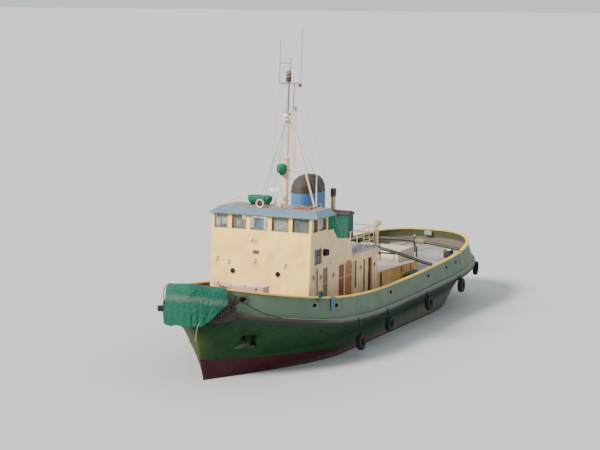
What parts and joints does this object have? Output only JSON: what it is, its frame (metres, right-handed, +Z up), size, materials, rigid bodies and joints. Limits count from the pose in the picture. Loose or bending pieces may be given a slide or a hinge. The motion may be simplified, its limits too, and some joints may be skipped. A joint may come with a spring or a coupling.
{
  "type": "harbour tugboat",
  "caption": "Harbour tug with a raised sheer, tall deckhouse and wheelhouse, funnel, raked mast, tow hook and bows, tyre fenders and a canvas-covered bow fender.",
  "frame": {"origin": "amidships on the waterline, midway between the ends of the rail", "axes": "+X to the bow, +Y to port, +Z up"},
  "size_m": [28.91, 8.8088, 18.3107],
  "materials": {
    "bottom_paint": "dull oxide red antifouling, scuffed",
    "topside_paint": "dark green gloss gone satin, streaked",
    "bulwark_paint": "grey-green paint with rust marks",
    "rail_paint": "yellow paint, worn",
    "belting_rubber": "weathered black-brown",
    "fender_rubber": "weathered",
    "green_canvas": "heavy coated canvas",
    "green_paint": "dark green gloss paint",
    "house_paint": "cream paint, rust stains",
    "roof_paint": "blue-grey paint",
    "funnel_paint": "blue paint",
    "funnel_cap_paint": "sooty brown paint",
    "deck_paint": "matt grey deck paint",
    "bronze": "cast bronze, dull",
    "olive_paint": "olive-grey paint",
    "white_paint": "white paint",
    "red_brown_paint": "red-brown primer",
    "black_steel": "black paint on cast iron",
    "ochre_paint": "ochre paint",
    "grey_paint": "grey paint",
    "window_glass": "greenish pane",
    "white_plastic": "white moulded shell"
  },
  "bodies": {
    "hull": {"hull_bottom": "bottom_paint", "hull_topsides": "topside_paint", "bulwark_port": "bulwark_paint", "bulwark_starboard": "bulwark_paint", "cap_rail_port": "rail_paint", "cap_rail_starboard": "rail_paint", "belting_port": "belting_rubber", "belting_starboard": "belting_rubber", "bow_fender": "fender_rubber", "bow_tarp": "green_canvas", "covered_raft": "green_canvas", "covered_lamp": "green_canvas", "deck_locker": "green_paint", "house_port": "house_paint", "house_starboard": "house_paint", "house_front": "house_paint", "house_aft": "house_paint", "wheelhouse_aft": "house_paint", "horn": "house_paint", "exhaust_pipe": "house_paint", "mast": "house_paint", "cowl_vent_port": "house_paint", "cowl_vent_starboard": "house_paint", "boat_rail": "house_paint", "hook_housing": "house_paint", "wheelhouse_roof": "roof_paint", "funnel": "funnel_paint", "funnel_top": "funnel_cap_paint", "locker_top": "funnel_cap_paint", "fore_deck": "deck_paint", "main_deck": "deck_paint", "after_deck": "deck_paint", "boat_deck": "deck_paint", "tow_bow_fore": "olive_paint", "tow_bow_aft": "olive_paint", "scanner_post": "white_paint", "skiff": "white_paint", "helm": "black_steel", "bitts_fore_port": "black_steel", "bitts_fore_starboard": "black_steel", "bitts_aft_port": "black_steel", "bitts_aft_starboard": "black_steel", "windlass_frame": "black_steel", "engine_casing": "ochre_paint", "wheelhouse_glass": "window_glass", "liferaft": "white_plastic"},
    "propeller": {"propeller": "bronze"},
    "rudder": {"rudder": "bottom_paint"},
    "door_fore_port": {"door_fore_port": "grey_paint"},
    "door_middle_port": {"door_middle_port": "red_brown_paint"},
    "door_after_port": {"door_after_port": "ochre_paint"},
    "door_middle_starboard": {"door_middle_starboard": "red_brown_paint"},
    "door_after_starboard": {"door_after_starboard": "ochre_paint"},
    "wheelhouse_door": {"wheelhouse_door": "house_paint"},
    "roof_hatch": {"roof_hatch": "red_brown_paint"},
    "casing_lid": {"casing_lid": "grey_paint"},
    "scanner": {"scanner": "white_plastic"},
    "tow_hook": {"tow_hook": "red_brown_paint"},
    "windlass_drum": {"windlass_drum": "red_brown_paint"}
  },
  "joints": [
    {"name": "propeller_shaft", "type": "hinge", "parent": "hull", "child": "propeller", "pos_m": [-11, 0, -1.75], "axis": [1, 0, 0], "continuous": true},
    {"name": "rudder_stock", "type": "hinge", "parent": "hull", "child": "rudder", "pos_m": [-12, 0, -1.7], "axis": [0, 0, 1], "range_deg": [-35, 35]},
    {"name": "door_fore_port_hinge", "type": "hinge", "parent": "hull", "child": "door_fore_port", "pos_m": [6.08, 2.556, 3.14], "axis": [0, 0, -1], "range_deg": [0, 95]},
    {"name": "door_middle_port_hinge", "type": "hinge", "parent": "hull", "child": "door_middle_port", "pos_m": [4.3, 2.556, 3.03], "axis": [0, 0, -1], "range_deg": [0, 95]},
    {"name": "door_after_port_hinge", "type": "hinge", "parent": "hull", "child": "door_after_port", "pos_m": [3.56, 2.556, 3.06], "axis": [0, 0, -1], "range_deg": [0, 95]},
    {"name": "door_middle_starboard_hinge", "type": "hinge", "parent": "hull", "child": "door_middle_starboard", "pos_m": [4.3, -2.556, 3.03], "axis": [0, 0, 1], "range_deg": [0, 95]},
    {"name": "door_after_starboard_hinge", "type": "hinge", "parent": "hull", "child": "door_after_starboard", "pos_m": [3.56, -2.556, 3.06], "axis": [0, 0, 1], "range_deg": [0, 95]},
    {"name": "wheelhouse_door_hinge", "type": "hinge", "parent": "hull", "child": "wheelhouse_door", "pos_m": [5.6, 1, 5.44], "axis": [0, 0, 1], "range_deg": [0, 95]},
    {"name": "roof_hatch_hinge", "type": "hinge", "parent": "hull", "child": "roof_hatch", "pos_m": [6, 1.7, 6.975], "axis": [0, -1, 0], "range_deg": [0, 100]},
    {"name": "casing_lid_hinge", "type": "hinge", "parent": "hull", "child": "casing_lid", "pos_m": [-2.27, 0, 2.88], "axis": [0, 1, 0], "range_deg": [0, 100]},
    {"name": "scanner_spin", "type": "hinge", "parent": "hull", "child": "scanner", "pos_m": [5.75, -0.08, 7.55], "axis": [0, 0, 1], "continuous": true},
    {"name": "tow_hook_swivel", "type": "hinge", "parent": "hull", "child": "tow_hook", "pos_m": [-8.21, 0, 2.78], "axis": [0, 0, 1], "range_deg": [-70, 70]},
    {"name": "windlass_shaft", "type": "hinge", "parent": "hull", "child": "windlass_drum", "pos_m": [12.05, 0, 3.33], "axis": [0, 1, 0], "continuous": true}
  ]
}
